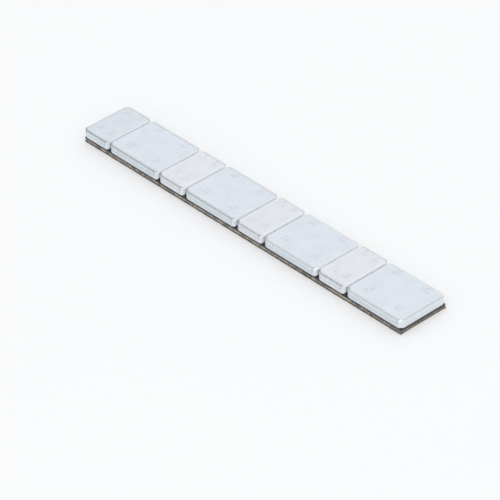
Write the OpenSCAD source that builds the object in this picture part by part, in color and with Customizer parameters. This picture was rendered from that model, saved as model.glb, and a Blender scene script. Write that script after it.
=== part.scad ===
// Adhesive balance weight for a car wheel: a row of steel weights on one foam tape.
// The strip lies along X on its release liner, with the steel faces up.
// Sizes are in millimetres. The origin is under the strip's middle, on the surface that it lies on.

/* [Weights] */
// Number of pairs in the strip, each one small weight and one large weight
pairs = 4; // [1:1:6]
// Length of a small weight along the strip, at its widest
small_l = 11.9; // [8:0.1:20]
// Length of a large weight along the strip, at its widest
large_l = 23.2; // [12:0.1:40]
// Width of every weight, across the strip
weight_w = 18.0; // [12:0.1:30]
// Thickness of the steel
weight_t = 3.1; // [2.8:0.1:6]
// Gap between two neighbours, where they come closest
weight_gap = 0.2; // [0.1:0.1:3]

/* [Weight edges] */
// Radius of a weight's corners, seen from above
corner_r = 1.8; // [1.6:0.1:4]
// How far the rounded top edge runs in over the weight
top_run = 0.5; // [0.1:0.1:0.8]
// How far the rounded top edge drops down the wall
top_drop = 0.4; // [0.1:0.1:0.8]
// How far the rolled lower edge runs in under the weight
roll_run = 0.5; // [0.2:0.1:1.5]
// How far the rolled lower edge rises up the wall
roll_rise = 0.8; // [0.2:0.1:1.9]

/* [Foam tape] */
// Thickness of the double-sided foam tape
foam_t = 1.4; // [0.5:0.1:3]
// How far the foam stops short of the weights' long sides
foam_side_inset = 0.4; // [0.1:0.1:1.5]
// How far the foam stops short of the strip's two ends
foam_end_inset = 0.2; // [0:0.1:1]

/* [Release liner] */
// Thickness of the paper liner
liner_t = 0.25; // [0.1:0.05:0.6]
// How far the liner stands out past each long side of the foam
liner_proud = 0.3; // [0:0.1:1]

/* [Hidden] */

// Steps along each curve of a weight's edge profile
top_steps = 4;
roll_steps = 6;
// Faces round one full turn of a corner post
post_faces = 32;

// Length of one small and one large weight, with their gaps
pair_pitch = small_l + large_l + 2 * weight_gap;
// Length of the steel row from end to end
strip_l = pairs * pair_pitch - weight_gap;
// Length shared by the foam and the liner, which are cut across together
tape_l = strip_l - 2 * foam_end_inset;
foam_w = weight_w - 2 * foam_side_inset;
liner_w = foam_w + 2 * liner_proud;
// Height of the surface that the steel is stuck to
foam_top = liner_t + foam_t;

// Half outline of a corner post: axis, rolled lower edge, wall, rounded top edge, axis
function post_profile() = concat(
    [[0, 0]],
    [for (i = [0:roll_steps])
        let (a = 90 * i / roll_steps)
        [corner_r - roll_run * (1 - sin(a)), roll_rise * (1 - cos(a))]],
    [for (i = [0:top_steps])
        let (a = 90 * i / top_steps)
        [corner_r - top_run * (1 - cos(a)), weight_t - top_drop * (1 - sin(a))]],
    [[0, weight_t]]
);

// One turned post, which gives a weight its plan corner and both of its rounded edges
module corner_post() {
    rotate_extrude($fn = post_faces) polygon(post_profile());
}

// A cropped steel slug of any length, its underside at z = 0 and its middle at x = 0
module steel_weight(length) {
    post_x = length / 2 - corner_r;
    post_y = weight_w / 2 - corner_r;
    color([0.80, 0.83, 0.86])
        hull()
            for (x = [-post_x, post_x], y = [-post_y, post_y])
                translate([x, y, 0]) corner_post();
}

// Small weight number i, counted from the strip's -X end
module weight_5g(i) {
    start_x = (i - 1) * pair_pitch - strip_l / 2;
    translate([start_x + small_l / 2, 0, foam_top]) steel_weight(small_l);
}

// Large weight number i, which follows small weight number i
module weight_10g(i) {
    start_x = (i - 1) * pair_pitch - strip_l / 2 + small_l + weight_gap;
    translate([start_x + large_l / 2, 0, foam_top]) steel_weight(large_l);
}

// A flat strip as long as the tape, centred on the strip, from z = bottom up
module tape_layer(width, thickness, bottom) {
    translate([-tape_l / 2, -width / 2, bottom]) cube([tape_l, width, thickness]);
}

// Double-sided foam tape that holds the weights together and sticks them to the rim
module foam_tape() {
    color([0.24, 0.24, 0.25]) tape_layer(foam_w, foam_t, liner_t);
}

// Paper that covers the lower adhesive until it is peeled off
module release_liner() {
    color([0.70, 0.63, 0.52]) tape_layer(liner_w, liner_t, 0);
}

for (i = [1:pairs]) {
    weight_5g(i);
    weight_10g(i);
}
foam_tape();
release_liner();
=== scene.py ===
"""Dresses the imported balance-weight strip: eight plated steel weights, their foam tape and its liner.

Each piece is the outside of a lattice of grid lines, bent into the piece's form by whole-array
formulas. Lengths are in millimetres, as in the part's source, and turn into metres when a mesh or a
node is made. Where a piece stands, and how big it is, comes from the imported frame.
"""

import logging
import math
from dataclasses import dataclass, field
from enum import Enum

import bpy
import numpy as np
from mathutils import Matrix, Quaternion, Vector


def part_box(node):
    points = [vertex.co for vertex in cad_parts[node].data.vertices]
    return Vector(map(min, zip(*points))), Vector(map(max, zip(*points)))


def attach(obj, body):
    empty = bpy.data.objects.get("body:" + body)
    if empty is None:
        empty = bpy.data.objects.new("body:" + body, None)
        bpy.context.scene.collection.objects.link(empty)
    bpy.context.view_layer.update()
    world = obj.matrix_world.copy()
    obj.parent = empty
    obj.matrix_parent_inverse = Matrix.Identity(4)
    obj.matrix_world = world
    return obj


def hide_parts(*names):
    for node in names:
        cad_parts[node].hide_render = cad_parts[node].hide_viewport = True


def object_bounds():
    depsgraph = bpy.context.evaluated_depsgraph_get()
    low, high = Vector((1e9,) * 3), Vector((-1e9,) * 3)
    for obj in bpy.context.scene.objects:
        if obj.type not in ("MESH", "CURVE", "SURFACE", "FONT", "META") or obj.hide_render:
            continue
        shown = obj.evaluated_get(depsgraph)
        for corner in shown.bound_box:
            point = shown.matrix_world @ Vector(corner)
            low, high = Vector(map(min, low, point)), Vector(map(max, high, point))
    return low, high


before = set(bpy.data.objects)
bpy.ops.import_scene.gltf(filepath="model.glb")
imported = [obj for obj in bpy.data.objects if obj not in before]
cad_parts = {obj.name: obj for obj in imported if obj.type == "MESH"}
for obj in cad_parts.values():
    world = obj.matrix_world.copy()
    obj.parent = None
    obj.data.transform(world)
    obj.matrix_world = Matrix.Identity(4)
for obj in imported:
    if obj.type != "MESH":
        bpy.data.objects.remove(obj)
CAD_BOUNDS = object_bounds()

LOG = logging.getLogger("balance_weight")
MM = 0.001
BODY = "root"

Triple = tuple[float, float, float]
# Two numbers, such as the values that smooth_step climbs between
Pair = tuple[float, float]
# Two values that NodeBoard.remap reads from, and the two results at them
Curve = tuple[float, float, float, float]
Socket = bpy.types.NodeSocket
Wire = float | tuple[float, ...] | Socket


def smooth_step(low: float, high: float, value: np.ndarray) -> np.ndarray:
    """Climb from 0 at low to 1 at high, which may be less, along 3t^2 - 2t^3 with t the share of the way."""
    share = np.clip((value - low) / (high - low), 0.0, 1.0)
    return share * share * (3.0 - 2.0 * share)


@dataclass(frozen=True)
class Ripple:
    """Six sine waves, each 0.6 times as long and as high as the one before, with seeded phases."""

    longest: float
    seed: int

    def at(self, along: np.ndarray) -> np.ndarray:
        """Add up the waves.

        Args:
            along: Where to read the sum, in millimetres.

        Returns:
            The sum at each place, from about -1 to 1.
        """
        waves = 6
        shrink = 0.6 ** np.arange(waves)
        phases = np.random.default_rng(self.seed).uniform(0.0, 2.0 * np.pi, waves)
        angles = 2.0 * np.pi * along[..., None] / (self.longest * shrink) + phases
        return (np.sin(angles) * shrink).sum(axis=-1) / shrink.sum()


@dataclass(frozen=True)
class Block:
    """A CAD node's box at rest, in millimetres."""

    low: np.ndarray
    high: np.ndarray

    @classmethod
    def of_node(cls, node: str) -> "Block":
        """Read a node's box from the frame, in millimetres."""
        low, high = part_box(node)
        return cls(np.array(low) / MM, np.array(high) / MM)

    @property
    def half(self) -> np.ndarray:
        """Half of the box's length, width and height."""
        return (self.high - self.low) / 2.0

    @property
    def foot(self) -> np.ndarray:
        """The middle of the box's underside."""
        middle = (self.high + self.low) / 2.0
        return np.array([middle[0], middle[1], self.low[2]])


@dataclass(frozen=True)
class LatticeSkin:
    """The outside of a lattice of nx by ny by nz points, with its quads facing outwards."""

    nx: int
    ny: int
    nz: int

    def _outside(self) -> np.ndarray:
        """Mark the lattice's outer points, which are those on any of its six sides.

        Returns:
            True at the outer points, in the lattice's form.
        """
        outside = np.ones((self.nx, self.ny, self.nz), dtype=bool)
        outside[1:-1, 1:-1, 1:-1] = False
        return outside

    def places(self) -> tuple[np.ndarray, np.ndarray, np.ndarray]:
        """Give every outer point's three lattice numbers, in the order of the mesh's vertices."""
        found = np.argwhere(self._outside())
        return found[:, 0], found[:, 1], found[:, 2]

    def shares(self) -> list[np.ndarray]:
        """Give every outer point's three places, from -1 at the low side to 1 at the high one."""
        counts = (self.nx, self.ny, self.nz)
        return [np.linspace(-1.0, 1.0, count)[at] for count, at in zip(counts, self.places())]

    def quads(self) -> np.ndarray:
        """Join the outer points into quads.

        A grid with its rows along one axis and its columns along another faces the way of the
        first cross the second, so three of the six sides are turned over.

        Returns:
            One row of four vertex numbers for each quad.
        """
        outside = self._outside()
        numbers = np.full(outside.shape, -1)
        numbers[outside] = np.arange(np.count_nonzero(outside))
        sides = (
            (numbers[:, :, -1], False),
            (numbers[:, :, 0], True),
            (numbers[:, 0, :], False),
            (numbers[:, -1, :], True),
            (numbers[-1, :, :], False),
            (numbers[0, :, :], True),
        )
        found = []
        for grid, turned in sides:
            corners = (grid[:-1, :-1], grid[1:, :-1], grid[1:, 1:], grid[:-1, 1:])
            rows = np.stack(corners, axis=-1).reshape(-1, 4)
            found.append(rows[:, ::-1] if turned else rows)
        return np.concatenate(found)


@dataclass(frozen=True)
class MeshPlan:
    """The points, quads and point values that a piece's mesh is made from."""

    points: np.ndarray
    quads: np.ndarray
    values: dict[str, np.ndarray]

    def make(self, name: str, material: bpy.types.Material, sharp: float | None = None) -> bpy.types.Object:
        """Make the piece's object, with its place in its mesh.

        Args:
            name: The piece's name.
            material: Its finish.
            sharp: Angle in degrees past which an edge is left sharp, or None for smooth all over.

        Returns:
            The object, at the origin, in the scene's collection.
        """
        mesh = bpy.data.meshes.new(name)
        mesh.from_pydata(self.points * MM, [], self.quads)
        for value_name, values in self.values.items():
            layer = mesh.attributes.new(value_name, "FLOAT", "POINT")
            layer.data.foreach_set("value", values.astype(np.float32))
        mesh.shade_smooth()
        if sharp is not None:
            mesh.set_sharp_from_angle(angle=math.radians(sharp))
        mesh.materials.append(material)
        mesh.update()
        piece = bpy.data.objects.new(name, mesh)
        bpy.context.scene.collection.objects.link(piece)
        return piece


def opaque(colour: Wire) -> Wire:
    """Give a colour of three numbers its alpha, and leave an output as it is."""
    return (*colour, 1.0) if isinstance(colour, tuple) else colour


class NodeBoard:
    """Adds nodes to one node tree and links them."""

    # Where Blender's Mix node keeps its factor, its two colours and their blend
    FACTOR, FIRST, SECOND, BLENDED = 0, 6, 7, 2

    def __init__(self, tree: bpy.types.NodeTree) -> None:
        """Keep the tree that the nodes go into."""
        self.tree = tree

    def fill(self, node: bpy.types.Node, inputs: dict[str | int, Wire]) -> None:
        """Fill a node's sockets.

        Args:
            node: The node.
            inputs: A number, a tuple or another node's output for each socket, by name or place.
        """
        for socket, wire in inputs.items():
            if isinstance(wire, Socket):
                self.tree.links.new(wire, node.inputs[socket])
            else:
                node.inputs[socket].default_value = wire

    def add(
        self, kind: str, inputs: dict[str | int, Wire] | None = None, **settings: object
    ) -> bpy.types.Node:
        """Add a node, set its options and fill its sockets.

        Args:
            kind: Blender's name for the node's type.
            inputs: What the sockets are filled with.
            settings: The node's own options.

        Returns:
            The new node.
        """
        node = self.tree.nodes.new(kind)
        for option, value in settings.items():
            setattr(node, option, value)
        self.fill(node, inputs or {})
        return node

    def maths(self, operation: str, first: Wire, second: Wire = 0.0, clamp: bool = False) -> Socket:
        """Work out one sum on numbers, such as ADD, and give its output."""
        node = self.add("ShaderNodeMath", {0: first, 1: second}, operation=operation, use_clamp=clamp)
        return node.outputs[0]

    def times(self, first: Wire, second: Wire) -> Socket:
        """Multiply two numbers and give the product's output."""
        return self.maths("MULTIPLY", first, second)

    def remap(
        self, value: Wire, low: float, high: float, to_low: Wire, to_high: Wire, way: str = "LINEAR"
    ) -> Socket:
        """Stretch a value from low..high to to_low..to_high, held at both ends, and give its output."""
        sockets = {"Value": value, "From Min": low, "From Max": high, "To Min": to_low, "To Max": to_high}
        return self.add("ShaderNodeMapRange", sockets, interpolation_type=way).outputs["Result"]

    def blend(self, factor: Wire, first: Wire, second: Wire) -> Socket:
        """Blend two colours, the first at a factor of 0 and the second at 1, and give the output."""
        sockets = {self.FACTOR: factor, self.FIRST: opaque(first), self.SECOND: opaque(second)}
        return self.add("ShaderNodeMix", sockets, data_type="RGBA").outputs[self.BLENDED]

    def bump(self, height: Wire, depth: float, normal: Wire | None = None) -> Socket:
        """Turn a height, worth depth in millimetres where it is 1, into a normal laid over another."""
        under = {} if normal is None else {"Normal": normal}
        return self.add("ShaderNodeBump", {"Height": height, "Distance": depth * MM, **under}).outputs[0]


class EffectGroups:
    """The shader node groups that the finishes share. Each is built once and placed with its own values."""

    def __init__(self) -> None:
        """Build the groups."""
        self.clouds = self._clouds()
        self.grain = self._grain()
        self.pits = self._pits()

    @staticmethod
    def _start(name: str, numbers: dict[str, float]) -> tuple[NodeBoard, dict[str, Socket], bpy.types.Node]:
        """Start a group that takes a vector and some numbers, and gives one value.

        Args:
            name: The group's name.
            numbers: Each number socket's name and first value.

        Returns:
            The group's board, what it takes, by name, and its output node.
        """
        tree = bpy.data.node_groups.new(name, "ShaderNodeTree")
        tree.interface.new_socket("Vector", in_out="INPUT", socket_type="NodeSocketVector")
        for socket_name, value in numbers.items():
            socket = tree.interface.new_socket(socket_name, in_out="INPUT", socket_type="NodeSocketFloat")
            socket.default_value = value
        tree.interface.new_socket("Value", in_out="OUTPUT", socket_type="NodeSocketFloat")
        board = NodeBoard(tree)
        taken = board.add("NodeGroupInput").outputs
        return board, {name: taken[name] for name in ("Vector", *numbers)}, board.add("NodeGroupOutput")

    def _clouds(self) -> bpy.types.NodeTree:
        """Soft patches: noise on the vector divided by Size, spread about its middle by Contrast.

        Returns:
            The group.
        """
        board, taken, given = self._start("soft_clouds", {"Size": 5.0, "Contrast": 1.5})
        scale = board.maths("DIVIDE", 1.0, taken["Size"])
        sockets = {"Vector": taken["Vector"], "Scale": scale, "Detail": 3.0, "Roughness": 0.55}
        noise = board.add("ShaderNodeTexNoise", sockets)
        spread = board.times(board.maths("SUBTRACT", noise.outputs["Fac"], 0.5), taken["Contrast"])
        board.fill(given, {"Value": board.maths("ADD", spread, 0.5, clamp=True)})
        return board.tree

    def _grain(self) -> bpy.types.NodeTree:
        """Long fine lines: noise on the vector divided by Length along X and by Width across it.

        Returns:
            The group.
        """
        board, taken, given = self._start("long_grain", {"Length": 4.0, "Width": 0.15, "Height": 4.0})
        sizes = {"X": taken["Length"], "Y": taken["Width"], "Z": taken["Height"]}
        shares = board.add("ShaderNodeCombineXYZ", sizes).outputs[0]
        divided = board.add("ShaderNodeVectorMath", {0: taken["Vector"], 1: shares}, operation="DIVIDE")
        sockets = {"Vector": divided.outputs[0], "Scale": 1.0, "Detail": 2.0, "Roughness": 0.6}
        noise = board.add("ShaderNodeTexNoise", sockets)
        board.fill(given, {"Value": board.remap(noise.outputs["Fac"], 0.3, 0.7, 0.0, 1.0)})
        return board.tree

    def _pits(self) -> bpy.types.NodeTree:
        """Small round pits: 1 at the middle of a cell, 0 at Reach from it, and only in a Share of cells.

        Returns:
            The group.
        """
        board, taken, given = self._start("small_pits", {"Spacing": 1.5, "Reach": 0.2, "Share": 0.3})
        scale = board.maths("DIVIDE", 1.0, taken["Spacing"])
        cells = board.add("ShaderNodeTexVoronoi", {"Vector": taken["Vector"], "Scale": scale})
        inside = board.maths("DIVIDE", cells.outputs["Distance"], taken["Reach"])
        depth = board.maths("SUBTRACT", 1.0, inside, clamp=True)
        picked = board.add("ShaderNodeSeparateColor", {"Color": cells.outputs["Color"]}).outputs["Red"]
        kept = board.maths("LESS_THAN", picked, taken["Share"])
        board.fill(given, {"Value": board.times(depth, kept)})
        return board.tree


class FinishBoard(NodeBoard):
    """One material's board, with its Principled BSDF and the piece's own coordinates in millimetres."""

    def __init__(self, name: str, settings: dict[str, Wire]) -> None:
        """Start the material.

        Args:
            name: The material's name.
            settings: Values that are the same all over the surface, set on the shader's own sockets.
        """
        self.material = bpy.data.materials.new(name)
        self.material.use_nodes = True
        super().__init__(self.material.node_tree)
        self.shader = self.tree.nodes["Principled BSDF"]
        self.fill(self.shader, settings)
        own = self.add("ShaderNodeTexCoord").outputs["Object"]
        sockets = {0: own, 1: (1.0 / MM,) * 3}
        self.place = self.add("ShaderNodeVectorMath", sockets, operation="MULTIPLY").outputs[0]

    def value_of(self, layer: str) -> Socket:
        """Give a point value that was stored on the mesh."""
        return self.add("ShaderNodeAttribute", attribute_name=layer).outputs["Fac"]

    def lay(self, group: bpy.types.NodeTree, vector: Wire | None = None, **numbers: float) -> Socket:
        """Lay a shared group on a vector, or else on the place in millimetres, and give its value."""
        sockets = {"Vector": self.place if vector is None else vector, **numbers}
        return self.add("ShaderNodeGroup", sockets, node_tree=group).outputs["Value"]


@dataclass(frozen=True)
class ZincFinish:
    """Bright zinc plating on pressed steel: satin, faintly cloudy, rubbed smooth along its edges.

    A shade or a shine says how strongly a mask tints the plating. A curve says how strongly it does
    so by the haze, which keeps the tint uneven.
    """

    name: str
    bright: Triple
    dull: Triple
    clear_roughness: float
    cloudy_roughness: float
    # Dirt, and painted shade: on the rolled lower edge over the tape, in the pressed figures and in the pits
    grime_and_shade: Triple = (0.30, 0.29, 0.27)
    tarnish: Triple = (0.24, 0.30, 0.34)
    cool: Triple = (0.24, 0.52, 0.68)
    watery: Triple = (0.36, 0.64, 0.62)
    # Painted shade: the dark tint along the top edges, in the low corner nooks and in the notches at the
    # joints
    edge_shade_tint: Triple = (0.27, 0.28, 0.29)
    # Painted highlight on the corners, painted light on the soft long edges and the ends, and the burnish of
    # the ends and the cut band
    highlight_and_burnish: Triple = (0.925, 0.945, 0.965)
    cloud_size: float = 4.5
    cloud_share: float = 0.65
    haze_size: float = 1.3
    haze_share: float = 0.35
    patchy_span: Pair = (0.1, 0.9)
    # Partly burnish, partly painted highlight on the smooth cut band
    cut_burnish_and_highlight: float = 0.45
    streak_shade: float = 0.22
    shear_shade: float = 0.28
    scuff_shade: float = 0.10
    edge_shade_curve: Curve = (0.25, 0.65, 0.496, 0.682)
    tone_shade: float = 0.16
    mottle_curve: Curve = (0.42, 0.75, 0.0, 0.18)
    dirt_and_shade_curve: Curve = (0.3, 0.8, 0.15, 0.6)
    figure_shade_curve: Curve = (0.35, 0.7, 0.1, 1.0)
    figure_shade: float = 0.20
    pit_shade: float = 0.5
    corner_highlight: float = 0.45
    end_rub_and_light: float = 0.9
    rub_curve: Curve = (0.2, 0.6, 0.5, 1.0)
    edge_roughness: float = 0.2
    end_roughness: float = 0.6
    scuff_roughness: float = 0.12
    scuff_turns: Pair = (28.0, -57.0)
    scuff_curve: Curve = (0.78, 1.0, 0.0, 1.0)
    shear_height: float = 0.50
    shear_wander: float = 0.16
    shear_half: float = 0.07
    grain_depth: float = 0.0015
    pit_depth: float = 0.003
    swell_depth: float = 0.03

    def material(self, effects: EffectGroups) -> bpy.types.Material:
        """Build the plating's material.

        Args:
            effects: The shared node groups.

        Returns:
            The material, which reads from the mesh the values named in LAYERS: wear and dirt, painted shade
            and painted highlights.
        """
        board = FinishBoard(self.name, {"Metallic": 1.0})
        layers = (board.value_of(layer) for layer in PlatingWearAndShade.LAYERS)
        edge, edge_shade, wall, roll, figure, corner, ends, rise, tone = layers
        clouds = board.lay(effects.clouds, Size=self.cloud_size, Contrast=2.2)
        haze = board.lay(effects.clouds, Size=self.haze_size, Contrast=2.0)
        streaks = board.lay(effects.grain, Length=5.0, Width=5.0, Height=0.16)
        grain = board.lay(effects.grain, Length=6.0, Width=0.12, Height=3.0)
        pits = board.lay(effects.pits, Spacing=1.7, Reach=0.14, Share=0.22)
        scuffs = self._scuffs(board, effects)
        line, cut = self._shear(board, effects, rise, wall)
        patchy = board.maths("ADD", board.times(clouds, self.cloud_share), board.times(haze, self.haze_share))

        # Of these tints, the dark edge tint is painted shade; the corner tint is a painted highlight; the end
        # tint is partly rub and partly painted light; the cut band is partly burnish and partly painted
        # highlight; the roll, figure and pit tints are partly dirt and partly painted shade
        tints = (
            (cut, self.cut_burnish_and_highlight, self.highlight_and_burnish),
            (board.times(streaks, wall), self.streak_shade, self.tarnish),
            (line, self.shear_shade, self.tarnish),
            (scuffs, self.scuff_shade, self.tarnish),
            (edge_shade, board.remap(haze, *self.edge_shade_curve), self.edge_shade_tint),
            (tone, self.tone_shade, self.cool),
            (wall, board.remap(haze, *self.mottle_curve), self.watery),
            (roll, board.remap(haze, *self.dirt_and_shade_curve), self.grime_and_shade),
            (board.times(figure, board.remap(haze, *self.figure_shade_curve)), self.figure_shade, self.grime_and_shade),
            (pits, self.pit_shade, self.grime_and_shade),
            (corner, self.corner_highlight, self.highlight_and_burnish),
            (ends, self.end_rub_and_light, self.highlight_and_burnish),
        )
        colour = board.blend(patchy, self.bright, self.dull)
        for mask, share, tint in tints:
            colour = board.blend(board.times(mask, share), colour, tint)

        roughness = board.remap(patchy, *self.patchy_span, self.clear_roughness, self.cloudy_roughness)
        rubbed = board.times(edge, board.remap(haze, *self.rub_curve))
        rubbed = board.maths("MAXIMUM", rubbed, corner)
        roughness = board.remap(rubbed, 0.0, 1.0, roughness, self.edge_roughness)
        roughness = board.remap(ends, 0.0, 1.0, roughness, self.end_roughness)
        roughness = board.maths("ADD", roughness, board.times(scuffs, self.scuff_roughness))

        normal = board.bump(clouds, self.swell_depth)
        normal = board.bump(grain, self.grain_depth, normal)
        normal = board.bump(board.maths("SUBTRACT", 1.0, pits), self.pit_depth, normal)
        board.fill(board.shader, {"Base Color": colour, "Roughness": roughness, "Normal": normal})
        return board.material

    def _scuffs(self, board: FinishBoard, effects: EffectGroups) -> Socket:
        """Mask fine scuffs: the strongest lines of two grains, each turned about the upright axis.

        Args:
            board: The material's board.
            effects: The shared node groups.

        Returns:
            The mask.
        """
        found = []
        for degrees in self.scuff_turns:
            turn = (0.0, 0.0, math.radians(degrees))
            turned = board.add("ShaderNodeMapping", {"Vector": board.place, "Rotation": turn})
            vector = turned.outputs["Vector"]
            lines = board.lay(effects.grain, vector, Length=5.0, Width=0.07, Height=5.0)
            found.append(board.remap(lines, *self.scuff_curve))
        return board.maths("MAXIMUM", *found)

    def _shear(
        self, board: FinishBoard, effects: EffectGroups, rise: Wire, wall: Wire
    ) -> tuple[Socket, Socket]:
        """Mask the ragged line where the press stopped cutting and the steel broke away.

        The mask is 1 less the distance from the line's height over the line's half width. The
        height wanders with a noise that is long along the strip. The wall above it is cut smooth, and its
        lighter tint is partly that smooth cut and partly a painted highlight.

        Args:
            board: The material's board.
            effects: The shared node groups.
            rise: Height as a share of the weight's thickness.
            wall: 1 on the upright walls.

        Returns:
            The line's mask, and the mask of the smooth wall above it.
        """
        wander = board.lay(effects.grain, Length=3.0, Width=3.0, Height=20.0)
        middle = board.remap(wander, 0.0, 1.0, self.shear_height, self.shear_height + self.shear_wander)
        over = board.maths("SUBTRACT", rise, middle)
        away = board.maths("DIVIDE", board.maths("ABSOLUTE", over), self.shear_half)
        line = board.maths("SUBTRACT", 1.0, away, clamp=True)
        # The smooth cut band above the line is lightened: partly burnish, partly painted highlight
        cut = board.maths("DIVIDE", over, self.shear_half, clamp=True)
        return board.times(line, wall), board.times(cut, wall)


@dataclass(frozen=True)
class FoamFinish:
    """Matt charcoal foam with open cells, and a lighter taupe band round the middle of its sides."""

    name: str = "charcoal_foam"
    dark: Triple = (0.045, 0.045, 0.048)
    light: Triple = (0.125, 0.123, 0.123)
    # A lighter taupe band round the middle of the sides
    taupe_band: Triple = (0.53, 0.47, 0.41)
    band_low: float = 0.16
    band_high: float = 0.55
    band_ease: float = 0.12
    band_wander: float = 0.10
    patch_curve: Curve = (0.2, 0.7, 0.3, 1.0)
    cell_size: float = 0.22
    cell_shade: float = 0.6
    cell_depth: float = 0.06

    def material(self, effects: EffectGroups, low: float, high: float) -> bpy.types.Material:
        """Build the foam's material.

        Args:
            effects: The shared node groups.
            low: Height of the foam's lower face, in millimetres.
            high: Height of its upper face.

        Returns:
            The material, which reads from the mesh how strong the taupe band is.
        """
        board = FinishBoard(self.name, {"Roughness": 0.9, "Specular IOR Level": 0.25})
        cells = board.lay(effects.pits, Spacing=self.cell_size, Reach=0.6, Share=0.8)
        blotches = board.lay(effects.clouds, Size=2.5, Contrast=1.6)
        shade = board.maths("SUBTRACT", blotches, board.times(cells, self.cell_shade), clamp=True)
        height = board.add("ShaderNodeSeparateXYZ", {"Vector": board.place}).outputs["Z"]
        wander = board.lay(effects.clouds, Size=1.8, Contrast=1.4)
        wander = board.remap(wander, 0.0, 1.0, -self.band_wander, self.band_wander)
        share = board.maths("ADD", board.remap(height, low, high, 0.0, 1.0), wander)
        above = board.remap(share, self.band_low - self.band_ease, self.band_low, 0.0, 1.0)
        below = board.remap(share, self.band_high, self.band_high + self.band_ease, 1.0, 0.0)
        patches = board.remap(board.lay(effects.clouds, Size=1.3, Contrast=2.4), *self.patch_curve)
        banded = board.times(board.times(above, below), patches)
        banded = board.times(banded, board.value_of(FoamTape.BAND_LAYER))
        colour = board.blend(banded, board.blend(shade, self.dark, self.light), self.taupe_band)
        normal = board.bump(board.maths("SUBTRACT", 1.0, cells), self.cell_depth)
        board.fill(board.shader, {"Base Color": colour, "Normal": normal})
        return board.material


@dataclass(frozen=True)
class PaperFinish:
    """Tan release paper: short fibres under a thin, faintly shining coat."""

    name: str = "liner_paper"
    pale: Triple = (0.62, 0.55, 0.44)
    deep: Triple = (0.48, 0.41, 0.31)
    # Painted shadow along the long edges, dark as the shadow under the strip
    edge_shadow: Triple = (0.10, 0.09, 0.08)
    fibre_share: float = 0.5
    edge_shadow_curve: Curve = (0.2, 0.8, 0.6, 0.95)
    fibre_depth: float = 0.01

    def material(self, effects: EffectGroups) -> bpy.types.Material:
        """Build the paper's material.

        Args:
            effects: The shared node groups.

        Returns:
            The material, which reads how near a long edge is from the mesh, for the painted shadow along the
            long edges.
        """
        coat = {"Roughness": 0.55, "Coat Weight": 0.15, "Coat Roughness": 0.35}
        board = FinishBoard(self.name, coat)
        fibres = board.lay(effects.grain, Length=1.2, Width=0.10, Height=0.10)
        blotches = board.times(board.lay(effects.clouds, Size=6.0, Contrast=1.6), 1.0 - self.fibre_share)
        shade = board.maths("ADD", board.times(fibres, self.fibre_share), blotches)
        patches = board.remap(board.lay(effects.clouds, Size=1.6, Contrast=2.6), *self.edge_shadow_curve)
        # Painted shadow along the long edges
        shadow_mask = board.times(board.value_of(ReleaseLiner.SIDE_LAYER), patches)
        colour = board.blend(shadow_mask, board.blend(shade, self.pale, self.deep), self.edge_shadow)
        board.fill(board.shader, {"Base Color": colour, "Normal": board.bump(fibres, self.fibre_depth)})
        return board.material


@dataclass(frozen=True)
class FloorFinish:
    """White paper of a studio floor, with a little light of its own as on a light table."""

    name: str = "studio_floor"
    colour: Triple = (0.94, 0.94, 0.94)
    shaded: Triple = (0.925, 0.925, 0.93)
    glow: float = 0.12

    def material(self, effects: EffectGroups) -> bpy.types.Material:
        """Build the floor's material from the shared node groups.

        Args:
            effects: The shared node groups.

        Returns:
            The material.
        """
        settings = {
            "Roughness": 0.95,
            "Specular IOR Level": 0.1,
            "Emission Color": opaque((1.0, 1.0, 1.0)),
            "Emission Strength": self.glow,
        }
        board = FinishBoard(self.name, settings)
        blotches = board.lay(effects.clouds, Size=90.0, Contrast=1.0)
        board.fill(board.shader, {"Base Color": board.blend(blotches, self.colour, self.shaded)})
        return board.material


class WeightKind(Enum):
    """The two kinds of steel weight. Each value is the figure that is pressed into it."""

    FIVE = "5"
    TEN = "10"

    @classmethod
    def of_node(cls, node: str) -> "WeightKind":
        """Tell a node's kind from its name, such as weight_5g_1."""
        return cls(node.split("_")[1].removesuffix("g"))

    @property
    def figure_shift(self) -> float:
        """How far a figure stands from the middle along the strip, in millimetres."""
        return {WeightKind.FIVE: 2.45, WeightKind.TEN: 6.2}[self]


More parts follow.
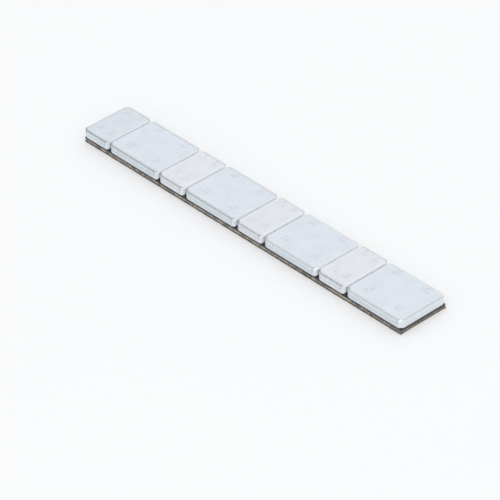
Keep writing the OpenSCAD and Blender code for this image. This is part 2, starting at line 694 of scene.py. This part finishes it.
@dataclass(frozen=True)
class PressedFigure:
    """A small number over a short bar, pressed into the steel. Sizes are in millimetres."""

    text: str
    height: float = 1.45
    digit_width: float = 0.95
    digit_gap: float = 0.45
    bar_drop: float = 1.35
    bar_length: float = 2.5
    stroke: float = 0.40
    shoulder: float = 0.20
    arc_steps: int = 20

    def _arc(self, middle: Pair, radii: Pair, start: float, stop: float) -> np.ndarray:
        """Follow an arc: the middle plus the radii times the cosine and the sine of the degrees."""
        angles = np.radians(np.linspace(start, stop, self.arc_steps))
        return np.array(middle) + np.array(radii) * np.stack((np.cos(angles), np.sin(angles)), axis=-1)

    def _digit(self, digit: str) -> np.ndarray:
        """Draw a digit's one stroke in a cell of width 1 and height 1 about its middle.

        Args:
            digit: 0, 1 or 5.

        Returns:
            Points along the stroke, one row each.
        """
        if digit == "0":
            return self._arc((0.0, 0.0), (0.5, 0.5), 0.0, 360.0)
        if digit == "1":
            return np.array([(-0.28, 0.26), (0.06, 0.5), (0.06, -0.5)])
        bowl = self._arc((-0.04, -0.17), (0.54, 0.33), 125.0, -140.0)
        return np.concatenate((np.array([(0.42, 0.5), (-0.34, 0.5), (-0.40, 0.04)]), bowl))

    def strokes(self) -> list[np.ndarray]:
        """Lay out the digits and the bar about the mark's middle.

        Returns:
            The points of each stroke, in millimetres.
        """
        pitch = self.digit_width + self.digit_gap
        cell = np.array([self.digit_width, self.height])
        raised = self.bar_drop / 2.0
        found = []
        for number, digit in enumerate(self.text):
            shift = (number - (len(self.text) - 1) / 2.0) * pitch
            found.append(self._digit(digit) * cell + np.array([shift, raised]))
        half_bar = self.bar_length / 2.0
        bar_height = raised - self.height / 2.0 - self.bar_drop / 2.0
        found.append(np.array([(-half_bar, bar_height), (half_bar, bar_height)]))
        return found

    def pressed(self, x: np.ndarray, y: np.ndarray) -> np.ndarray:
        """Say how deep the mark is at each place.

        A place's distance from a stroke is its least distance from any of the stroke's segments, and
        the depth falls from 1 inside half the stroke's width to 0 across the shoulder.

        Args:
            x: Places along the strip from the mark's middle, in millimetres.
            y: Places across it.

        Returns:
            The depth as a share of the full depth, from 0 to 1.
        """
        nearest = np.full(x.shape, np.inf)
        place = np.stack((x, y), axis=-1)[..., None, :]
        for stroke in self.strokes():
            start = stroke[:-1]
            step = stroke[1:] - start
            share = ((place - start) * step).sum(axis=-1) / (step * step).sum(axis=-1)
            offset = place - start - np.clip(share, 0.0, 1.0)[..., None] * step
            nearest = np.minimum(nearest, np.hypot(offset[..., 0], offset[..., 1]).min(axis=-1))
        half = self.stroke / 2.0
        return smooth_step(half + self.shoulder / 2.0, half - self.shoulder / 2.0, nearest)


@dataclass(frozen=True)
class GridLines:
    """Grid lines across a rounded rectangle: each one's place in the straight part, and in the corner.

    The place is held at the corner's own middle inside the corner, where the turn runs on from 0 to
    1 or -1 at the outside.
    """

    place: np.ndarray
    turn: np.ndarray

    @classmethod
    def graded(
        cls, half: float, bands: Pair, reach: float, fine: float, coarse: float, corner_steps: int
    ) -> "GridLines":
        """Set lines close together in some bands and far apart elsewhere.

        The line density is integrated along the straight part, and a line stands wherever the
        running total passes the next equal step. In a corner the turn is the square root of 2 times
        the sine of an angle that runs to 45 degrees, which divides the arc evenly.

        Args:
            half: Half of the straight part's length.
            bands: The middle of each band.
            reach: How far a band reaches to either side.
            fine: Spacing in a band.
            coarse: Spacing elsewhere.
            corner_steps: Lines from a corner's middle to its outside.

        Returns:
            The lines, from the low side to the high side.
        """
        sample_count = 4001
        samples = np.linspace(-half, half, sample_count)
        away = np.abs(samples[:, None] - np.array(bands)).min(axis=1)
        share_fine = smooth_step(reach + 2.0 * coarse, reach, away)
        density = share_fine / fine + (1.0 - share_fine) / coarse
        steps = (density[1:] + density[:-1]) / 2.0 * np.diff(samples)
        total = np.concatenate(([0.0], np.cumsum(steps)))
        count = int(round(total[-1]))
        inner = np.interp(np.linspace(0.0, total[-1], count + 1), total, samples)
        corner = math.sqrt(2.0) * np.sin(np.linspace(0.0, math.pi / 4.0, corner_steps + 1))[1:]
        place = np.concatenate((np.full(corner_steps, -half), inner, np.full(corner_steps, half)))
        turn = np.concatenate((-corner[::-1], np.zeros(count + 1), corner))
        return cls(place, turn)


@dataclass(frozen=True)
class PlatingWearAndShade:
    """Where one weight's plating is rubbed, tarnished or dirty, and where painted shade and painted
    highlights lie on it. Lengths are in millimetres.

    The arrays say where each point of the mesh lies: rise is the height over the underside, turn how
    far it is round a corner in X or in Y, from 0 to 1 or -1, bend how far round the top edge, from 0
    on the wall to 1 on the top, inward how far in from the top face's outline, and end and strip_end
    how far from the weight's and the strip's nearer end. Share is the rise over the thickness, and
    below the distance under the top face. A pair of numbers is the span of one smooth step, and the
    last word of its name says what the step is read from.
    """

    LAYERS = ("edge", "edge_shade", "wall", "roll", "figure", "corner", "ends", "rise", "tone")

    sharpness: float
    dullness: float
    thickness: float
    rise: np.ndarray
    turn_x: np.ndarray
    turn_y: np.ndarray
    bend: np.ndarray
    on_top: np.ndarray
    inward: np.ndarray
    end: np.ndarray
    strip_end: np.ndarray
    side_turn: Pair = (0.4, 0.8)
    joined_end: Pair = (0.5, 3.0)
    edge_inward: Pair = (0.6, 0.0)
    edge_below: Pair = (0.9, 0.4)
    fade_strength: float = 0.36
    fade_inward: Pair = (0.8, 0.0)
    fade_below: Pair = (0.92, 0.42)
    # Painted shade: a small dark spot where a long side turns, a dark nook in the low corner and a dark notch
    # at each joint
    shade_spot_strength: float = 1.1
    shade_spot_first_turn: Pair = (0.0, 0.12)
    shade_spot_last_turn: Pair = (0.4, 0.2)
    shade_spot_share: Pair = (0.45, 0.6)
    nook_strength: float = 1.5
    nook_on_top: float = 0.5
    nook_turn: Pair = (0.0, -0.8)
    nook_share: Pair = (0.3, 0.8)
    nook_inward: Pair = (0.35, 0.0)
    notch_strength: float = 1.0
    notch_end: Pair = (0.9, 0.1)
    notch_turn: Pair = (0.1, 0.5)
    notch_share: Pair = (0.88, 0.7)
    wall_rise: Pair = (0.4, 1.2)
    wall_below: Pair = (0.0, 0.42)
    # The end walls keep only this share of the wall marks, so they stand lighter: partly a fresher cut,
    # partly painted light
    end_streaks: float = 0.35
    roll_rise: Pair = (0.4, 0.05)
    # Painted highlight on the upright corners
    corner_turn: Pair = (0.3, 0.75)
    corner_rise: Pair = (0.3, 0.9)
    corner_below: Pair = (0.0, 0.294)
    # Painted light on the long top edges of a weight whose edge runs in further
    soft_edge_light: float = 1.3
    # Lighter ends: partly rub on a neighbour, partly painted light
    rub_high: float = 0.7
    rub_high_share: Pair = (0.6, 0.85)
    rub_low_share: Pair = (0.1, 0.4)
    free_end: float = 0.35

    @property
    def share(self) -> np.ndarray:
        """The rise as a share of the thickness."""
        return self.rise / self.thickness

    @property
    def below(self) -> np.ndarray:
        """The distance under the top face."""
        return self.thickness - self.rise

    def _near_edge(self, inward: Pair, below: Pair) -> np.ndarray:
        """Mask the top edge, fading over one span on the top face and over another down the wall."""
        on_wall = smooth_step(*below, self.below)
        return np.where(self.on_top, smooth_step(*inward, self.inward), on_wall)

    def values(self, figure: np.ndarray) -> dict[str, np.ndarray]:
        """Work out every value that the plating's finish reads.

        The corners are rubbed smooth and lightened with a painted highlight, and the long top edges of a
        weight whose edges are soft are lightened with painted light that lifts their shade. The ends are
        lightened partly as rub on a neighbour and partly as painted light that lifts the shade of the
        joints, most near the top, and less where the strip ends.

        Args:
            figure: How deep the pressed figures are at each point.

        Returns:
            The values, by the names in LAYERS.
        """
        long_side = smooth_step(*self.side_turn, np.abs(self.turn_y))
        joined = smooth_step(*self.joined_end, self.strip_end)
        # Painted shade in the notch where two weights meet
        notch = smooth_step(*self.notch_end, self.end) * smooth_step(*self.notch_share, self.share)
        notch = notch * smooth_step(*self.notch_turn, np.abs(self.turn_y)) * joined
        wall = smooth_step(*self.wall_rise, self.rise) * smooth_step(*self.wall_below, self.below)
        both = np.minimum(np.abs(self.turn_x), np.abs(self.turn_y))
        # Painted highlight on the upright corners
        corner = smooth_step(*self.corner_turn, both) * smooth_step(*self.corner_rise, self.rise)
        corner = corner * smooth_step(*self.corner_below, self.below)
        # Painted light that lifts the shade on the long top edges of a weight whose edge runs in further
        soft = (1.0 - self.sharpness) * self.soft_edge_light * np.sin(np.pi * self.bend) * long_side
        # Lighter ends: partly rub on a neighbour, partly painted light over the shade of the joints
        ends = self.rub_high * smooth_step(*self.rub_high_share, self.share)
        ends = ends + (1.0 - self.rub_high) * smooth_step(*self.rub_low_share, self.share)
        ends = ends * (1.0 - long_side) * (1.0 - self.bend) * (1.0 - notch)
        layers = (
            self._near_edge(self.edge_inward, self.edge_below),
            # Painted shade along the top edges, in the nooks and at the joints
            np.maximum(self._painted_shade(long_side, joined), self.notch_strength * notch),
            # The end walls keep fewer wall marks and stand lighter, partly as painted light
            wall * (self.end_streaks + (1.0 - self.end_streaks) * long_side),
            # Darker towards the bottom of the rolled lower edge: partly dirt, partly painted shade over the
            # tape
            smooth_step(*self.roll_rise, self.rise),
            figure,
            np.maximum(corner, soft),
            ends * (self.free_end + (1.0 - self.free_end) * joined),
            self.share,
            np.full(self.rise.shape, self.dullness),
        )
        return dict(zip(self.LAYERS, layers))

    def _painted_shade(self, long_side: np.ndarray, joined: np.ndarray) -> np.ndarray:
        """Mask the painted shade along the top edges, by the strongest of three marks.

        The shade along the top edge is the sine of pi times the bend, so it is darkest halfway round the top
        edge. It fades onto the top and down the wall, and is left off the ends that meet a neighbour. A
        small dark spot of painted shade stands on the wall where a long side starts to turn. The nook is
        painted shade in the corner low in X and Y.

        Args:
            long_side: 1 on the two long sides.
            joined: 1 but at the strip's two free ends.

        Returns:
            The mask, which may pass 1 a little.
        """
        fading = self.fade_strength * self._near_edge(self.fade_inward, self.fade_below)
        # Painted shade along the rounded top edge
        edge_shade = self.sharpness * np.maximum(np.sin(np.pi * self.bend), fading)
        edge_shade = edge_shade * np.maximum(long_side, 1.0 - joined)
        # Painted shade: a small dark spot where a long side starts to turn
        turn = np.abs(self.turn_x)
        shade_spot = smooth_step(*self.shade_spot_first_turn, turn) * smooth_step(*self.shade_spot_last_turn, turn)
        shade_spot = shade_spot * smooth_step(*self.shade_spot_share, self.share) * long_side * ~self.on_top
        # Painted shade in the corner low in X and Y
        nook = smooth_step(*self.nook_turn, self.turn_x) * smooth_step(*self.nook_turn, self.turn_y)
        fading = self.nook_on_top * smooth_step(*self.nook_inward, self.inward)
        nook = nook * smooth_step(*self.nook_share, self.share) * np.where(self.on_top, fading, 1.0)
        return np.maximum(edge_shade, np.maximum(self.shade_spot_strength * shade_spot, self.nook_strength * nook))


@dataclass
class SteelWeight:
    """One pressed steel weight with a rounded top edge, a rolled lower edge and its pressed figures."""

    node: str
    finish: bpy.types.Material
    corner_r: float = 1.8
    top_run: float = 0.5
    top_drop: float = 0.42
    roll_run: float = 0.5
    roll_rise: float = 0.8
    top_steps: int = 7
    wall_steps: int = 3
    roll_steps: int = 9
    corner_steps: int = 7
    fine: float = 0.1
    coarse: float = 0.55
    figure_reach: float = 1.75
    figure_rows: Pair = (-4.6, 6.6)
    figure_depth: float = 0.045
    swell: float = 0.015
    swell_along: Ripple = Ripple(17.0, 11)
    swell_across: Ripple = Ripple(13.0, 12)
    swell_slant: float = 0.6
    swell_inward: Pair = (0.2, 1.5)
    run_spread: float = 0.45
    softness_power: float = 1.5
    dullness_power: int = 4
    seed: int = 109945
    block: Block = field(init=False)
    kind: WeightKind = field(init=False)
    dullness: float = field(init=False)
    softness: float = field(init=False)

    def __post_init__(self) -> None:
        """Read the weight's box and kind from its node, and seed what sets it apart from the others.

        The plating is duller, and the rounded top edge runs in further, on some weights than on
        others. Both spreads are powers of a share from 0 to 1, so most weights are near the least.
        A weight whose edge is tighter has a darker painted shade along it.
        """
        self.block = Block.of_node(self.node)
        self.kind = WeightKind.of_node(self.node)
        number = int(self.kind.value) + int(self.node.split("_")[-1])
        shares = np.random.default_rng(self.seed + number).uniform(0.0, 1.0, 2)
        self.dullness = float(shares[0] ** self.dullness_power)
        self.softness = float(shares[1] ** self.softness_power)
        self.top_run += self.run_spread * self.softness

    def _profile(self) -> tuple[np.ndarray, np.ndarray]:
        """Follow the edge from the underside to the top, as a corner's radius and its height.

        Both edges are quarter ellipses. The lower one leaves the underside level and meets the wall
        upright, and the upper one leaves the wall upright and meets the top level.

        Returns:
            The radius and the height at each step, in millimetres.
        """
        low = np.linspace(0.0, math.pi / 2.0, self.roll_steps + 1)
        high = np.linspace(0.0, math.pi / 2.0, self.top_steps + 1)
        wall_high = 2.0 * self.block.half[2] - self.top_drop
        wall = np.linspace(self.roll_rise, wall_high, self.wall_steps + 1)[1:-1]
        radius = (
            self.corner_r - self.roll_run * (1.0 - np.sin(low)),
            np.full(wall.shape, self.corner_r),
            self.corner_r - self.top_run * (1.0 - np.cos(high)),
        )
        rise = (self.roll_rise * (1.0 - np.cos(low)), wall, wall_high + self.top_drop * np.sin(high))
        return np.concatenate(radius), np.concatenate(rise)

    def _figures(self, x: np.ndarray, y: np.ndarray) -> np.ndarray:
        """Press the figure at its four places, two along the strip in each of two rows.

        Args:
            x: Places along the strip from the weight's middle, in millimetres.
            y: Places across it.

        Returns:
            The depth as a share of the full depth.
        """
        mark = PressedFigure(self.kind.value)
        depth = np.zeros(x.shape)
        for shift in (-self.kind.figure_shift, self.kind.figure_shift):
            for row in self.figure_rows:
                depth = np.maximum(depth, mark.pressed(x - shift, y - row))
        return depth

    def plan(self) -> MeshPlan:
        """Work out the weight's mesh.

        A lattice point's place is the middle of its corner plus the level's radius times the corner
        turns, drawn in from a square to a quarter disc: each turn is multiplied by the square root
        of 1 less half the other one squared. The top face is then pressed down by the figures and by
        a slight swell, the product of two ripples that fades out at the face's outline. A point's
        distance in from that outline is the top level's radius, less how far the point lies outside
        the corners' middles, or more by how far it lies between them.

        Returns:
            The mesh's plan, with the values that the finish reads.
        """
        core = self.block.half[:2] - self.corner_r
        shift = self.kind.figure_shift
        spacing = (self.figure_reach, self.fine, self.coarse, self.corner_steps)
        across_x = GridLines.graded(core[0], (-shift, shift), *spacing)
        across_y = GridLines.graded(core[1], self.figure_rows, *spacing)
        radius, rise = self._profile()
        skin = LatticeSkin(len(across_x.place), len(across_y.place), len(radius))
        i, j, k = skin.places()
        turn_x = across_x.turn[i]
        turn_y = across_y.turn[j]
        x = across_x.place[i] + radius[k] * (turn_x * np.sqrt(1.0 - turn_y**2 / 2.0))
        y = across_y.place[j] + radius[k] * (turn_y * np.sqrt(1.0 - turn_x**2 / 2.0))

        foot = self.block.foot
        level = len(radius) - 1
        past_x = np.abs(x) - core[0]
        past_y = np.abs(y) - core[1]
        outside = np.hypot(np.maximum(past_x, 0.0), np.maximum(past_y, 0.0))
        wear_and_shade = PlatingWearAndShade(
            sharpness=1.0 - self.softness,
            dullness=self.dullness,
            thickness=2.0 * self.block.half[2],
            rise=rise[k],
            turn_x=turn_x,
            turn_y=turn_y,
            bend=np.clip((k - level + self.top_steps) / self.top_steps, 0.0, 1.0),
            on_top=k == level,
            inward=radius[level] - outside - np.minimum(np.maximum(past_x, past_y), 0.0),
            end=self.block.half[0] - np.abs(x),
            strip_end=CAD_BOUNDS[1][0] / MM - np.abs(x + foot[0]),
        )
        figure = np.where(wear_and_shade.on_top, self._figures(x, y), 0.0)
        swelling = self.swell_along.at(x + foot[0]) * self.swell_across.at(y + self.swell_slant * x)
        faded = np.where(wear_and_shade.on_top, smooth_step(*self.swell_inward, wear_and_shade.inward), 0.0)
        z = rise[k] - figure * self.figure_depth - faded * self.swell * (0.5 + 0.5 * swelling)
        return MeshPlan(np.stack((x, y, z), axis=-1) + foot, skin.quads(), wear_and_shade.values(figure))

    def build(self) -> bpy.types.Object:
        """Make the weight, which stands for its CAD node.

        Returns:
            The piece.
        """
        piece = self.plan().make(f"steel_{self.node}", self.finish)
        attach(piece, BODY)
        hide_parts(self.node)
        return piece


@dataclass
class FoamTape:
    """The double-sided foam tape under the weights, with slightly bulged and uneven cut sides."""

    BAND_LAYER = "band_strength"

    finish: FoamFinish
    effects: EffectGroups
    node: str = "foam_tape"
    spacing: float = 0.4
    across_lines: int = 31
    height_lines: int = 9
    bulge: float = 0.10
    side_ripple: Ripple = Ripple(7.0, 21)
    side_depth: float = 0.05
    side_shift: float = 30.0
    side_lean: float = 2.0
    end_ripple: Ripple = Ripple(5.0, 22)
    end_depth: float = 0.06
    end_lean: float = 9.0
    end_band: float = 0.45
    band_end_span: Pair = (0.0, 0.5)
    sharp: float = 40.0

    def plan(self) -> MeshPlan:
        """Work out the tape's mesh.

        Each side stands out by the bulge times 1 less the square of the height share, which runs
        from -1 to 1, and by a seeded ripple along the strip. The ends ripple in the same way. Both
        ripples are read a little further along with height, so that they lean, and the two sides
        are read far apart, so that they differ.

        Returns:
            The mesh's plan.
        """
        block = Block.of_node(self.node)
        half = block.half
        lines = int(round(2.0 * half[0] / self.spacing)) + 1
        skin = LatticeSkin(lines, self.across_lines, self.height_lines)
        share_x, share_y, share_z = skin.shares()
        belly = 1.0 - share_z**2
        x_plain = share_x * half[0]
        y_plain = share_y * half[1]
        along = x_plain + self.side_shift * np.sign(share_y) + self.side_lean * share_z
        side = belly * (self.bulge + self.side_depth * self.side_ripple.at(along))
        ragged = self.end_ripple.at(y_plain + self.end_lean * share_z) * belly
        drawn = self.end_depth * (ragged - 1.0)
        x = x_plain + np.where(np.abs(share_x) == 1.0, share_x * drawn, 0.0)
        y = y_plain + share_y * side
        z = share_z * half[2] + half[2]
        points = np.stack((x, y, z), axis=-1) + block.foot
        # The taupe band is weaker near the tape's ends
        off_end = smooth_step(*self.band_end_span, half[0] - np.abs(x_plain))
        band_strength = self.end_band + (1.0 - self.end_band) * off_end
        return MeshPlan(points, skin.quads(), {self.BAND_LAYER: band_strength})

    def build(self) -> bpy.types.Object:
        """Make the tape, which stands for its CAD node.

        Returns:
            The piece.
        """
        block = Block.of_node(self.node)
        material = self.finish.material(self.effects, block.low[2], block.high[2])
        piece = self.plan().make("charcoal_foam_tape", material, self.sharp)
        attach(piece, BODY)
        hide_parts(self.node)
        return piece


@dataclass
class ReleaseLiner:
    """The paper that covers the lower adhesive, cut with slightly uneven long edges."""

    SIDE_LAYER = "long_side"

    finish: bpy.types.Material
    node: str = "release_liner"
    spacing: float = 0.6
    across_lines: int = 13
    height_lines: int = 4
    edge_ripple: Ripple = Ripple(11.0, 31)
    edge_depth: float = 0.04
    edge_shift: float = 40.0
    # How far the painted shadow reaches in from each long edge
    edge_shadow_width: float = 0.5
    sharp: float = 40.0

    def plan(self) -> MeshPlan:
        """Work out the liner's mesh: a thin flat slab whose long edges are drawn in by a ripple.

        Returns:
            The mesh's plan, with how near each point is to a long edge.
        """
        block = Block.of_node(self.node)
        half = block.half
        lines = int(round(2.0 * half[0] / self.spacing)) + 1
        skin = LatticeSkin(lines, self.across_lines, self.height_lines)
        share = skin.shares()
        x, y, z = (value * size for value, size in zip(share, half))
        uneven = self.edge_ripple.at(x + self.edge_shift * np.sign(share[1]))
        y = y - share[1] * self.edge_depth * (0.5 - 0.5 * uneven)
        points = np.stack((x, y, z + half[2]), axis=-1) + block.foot
        side = smooth_step(self.edge_shadow_width, 0.0, half[1] - np.abs(y))
        return MeshPlan(points, skin.quads(), {self.SIDE_LAYER: side})

    def build(self) -> bpy.types.Object:
        """Make the liner, which stands for its CAD node.

        Returns:
            The piece.
        """
        piece = self.plan().make("tan_release_liner", self.finish, self.sharp)
        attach(piece, BODY)
        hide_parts(self.node)
        return piece


@dataclass(frozen=True)
class PhotoCamera:
    """The camera at the photograph's angle, from a fit of the strip's own joints and edges.

    Lengths are in metres, but for the lens and the sensor. Angles are in degrees.
    """

    aim: Triple = (0.01430, -0.01553, 0.00475)
    distance: float = 0.9657
    azimuth: float = 50.91
    elevation: float = 35.675
    roll: float = 4.045
    lens: float = 239.1
    sensor: float = 36.0

    def place(self) -> None:
        """Stand the camera at its distance from the aim and turn it to look there, with its roll."""
        data = bpy.data.cameras.new("photo_camera")
        data.sensor_width = self.sensor
        data.lens = self.lens
        camera = bpy.data.objects.new("photo_camera", data)
        around = math.radians(self.azimuth)
        above = math.radians(self.elevation)
        level = math.cos(above)
        back = Vector((math.sin(around) * level, -math.cos(around) * level, math.sin(above)))
        camera.location = Vector(self.aim) + back * self.distance
        camera.rotation_mode = "QUATERNION"
        turned = Quaternion((0.0, 0.0, 1.0), math.radians(-self.roll))
        camera.rotation_quaternion = (-back).to_track_quat("-Z", "Y") @ turned
        bpy.context.scene.collection.objects.link(camera)
        bpy.context.scene.camera = camera


@dataclass(frozen=True)
class DimPatch:
    """A round patch of the light tent that gives less light. Angles are in degrees from its middle."""

    toward: Triple
    full: float
    faded: float
    left: float

    def light_left(self, board: NodeBoard, direction: Socket) -> Socket:
        """Say what share of the tent's light is left in a direction.

        Args:
            board: The world's board.
            direction: The direction, of length 1.

        Returns:
            The share, which eases from the patch's own at the full angle to 1 at the faded one.
        """
        middle = tuple(Vector(self.toward).normalized())
        turned = board.add("ShaderNodeVectorMath", {0: direction, 1: middle}, operation="DOT_PRODUCT")
        near, far = (math.cos(math.radians(angle)) for angle in (self.full, self.faded))
        return board.remap(turned.outputs["Value"], far, near, 1.0, self.left, "SMOOTHSTEP")


@dataclass
class Studio:
    """A pale floor under a light tent, whose cloth gives soft even light but for its dim patches.

    One soft panel adds to it. Lengths are in metres.
    """

    floor: bpy.types.Material
    floor_half: float = 2.5
    tent: Triple = (0.98, 0.99, 1.0)
    tent_radiance: float = 0.99
    dim_patches: tuple[DimPatch, ...] = (
        DimPatch((-0.587, -0.40, 0.70), 30.0, 52.0, 0.74),
        DimPatch((0.45, 0.545, 0.70), 25.0, 48.0, 0.80),
        DimPatch((0.0, 0.0, -1.0), 98.0, 122.0, 0.80),
    )
    panel_toward: Triple = (0.33, -0.31, 0.89)
    panel_distance: float = 1.3
    panel_side: float = 0.8
    panel_radiance: float = 0.8

    def _hang_panel(self) -> None:
        """Hang a soft light that faces the strip. Its power is its radiance times its area times pi."""
        light = bpy.data.lights.new("key_panel", "AREA")
        light.shape = "SQUARE"
        light.size = self.panel_side
        light.energy = self.panel_radiance * self.panel_side**2 * math.pi
        panel = bpy.data.objects.new("key_panel", light)
        direction = Vector(self.panel_toward).normalized()
        panel.location = direction * self.panel_distance
        panel.rotation_euler = direction.to_track_quat("Z", "Y").to_euler()
        bpy.context.scene.collection.objects.link(panel)

    def build(self) -> None:
        """Lay the floor, hang the panel and set the surround."""
        half = self.floor_half
        mesh = bpy.data.meshes.new("studio_floor")
        corners = [(-half, -half, 0.0), (half, -half, 0.0), (half, half, 0.0), (-half, half, 0.0)]
        mesh.from_pydata(corners, [], [(0, 1, 2, 3)])
        mesh.materials.append(self.floor)
        floor = bpy.data.objects.new("studio_floor", mesh)
        bpy.context.scene.collection.objects.link(floor)
        self._hang_panel()
        bpy.context.scene.world = self._light_tent()
        bpy.context.scene.view_settings.view_transform = "Standard"

    def _light_tent(self) -> bpy.types.World:
        """Make the world that stands for the tent, dimmed in each patch.

        Returns:
            The world.
        """
        world = bpy.data.worlds.new("light_tent")
        world.use_nodes = True
        board = NodeBoard(world.node_tree)
        direction = board.add("ShaderNodeTexCoord").outputs["Generated"]
        radiance = self.tent_radiance
        for patch in self.dim_patches:
            radiance = board.times(patch.light_left(board, direction), radiance)
        board.fill(world.node_tree.nodes["Background"], {"Color": opaque(self.tent), "Strength": radiance})
        return world


def main() -> None:
    """Build the studio, the eight weights, the tape and the liner, and report each piece."""
    logging.basicConfig(level=logging.INFO, format="%(message)s")
    effects = EffectGroups()
    PhotoCamera().place()
    Studio(FloorFinish().material(effects)).build()
    zinc = {
        WeightKind.FIVE: ZincFinish("zinc_small", (0.885, 0.905, 0.937), (0.85, 0.86, 0.90), 0.36, 0.48),
        WeightKind.TEN: ZincFinish("zinc_large", (0.805, 0.85, 0.905), (0.767, 0.81, 0.865), 0.24, 0.36),
    }
    finishes = {kind: finish.material(effects) for kind, finish in zinc.items()}
    pieces = [
        SteelWeight(node, finishes[WeightKind.of_node(node)]).build()
        for node in sorted(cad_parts)
        if node.startswith("weight_")
    ]
    pieces.append(FoamTape(FoamFinish(), effects).build())
    pieces.append(ReleaseLiner(PaperFinish().material(effects)).build())
    for piece in pieces:
        LOG.info("%s: %d faces", piece.name, len(piece.data.polygons))


if __name__ == "__main__":
    main()
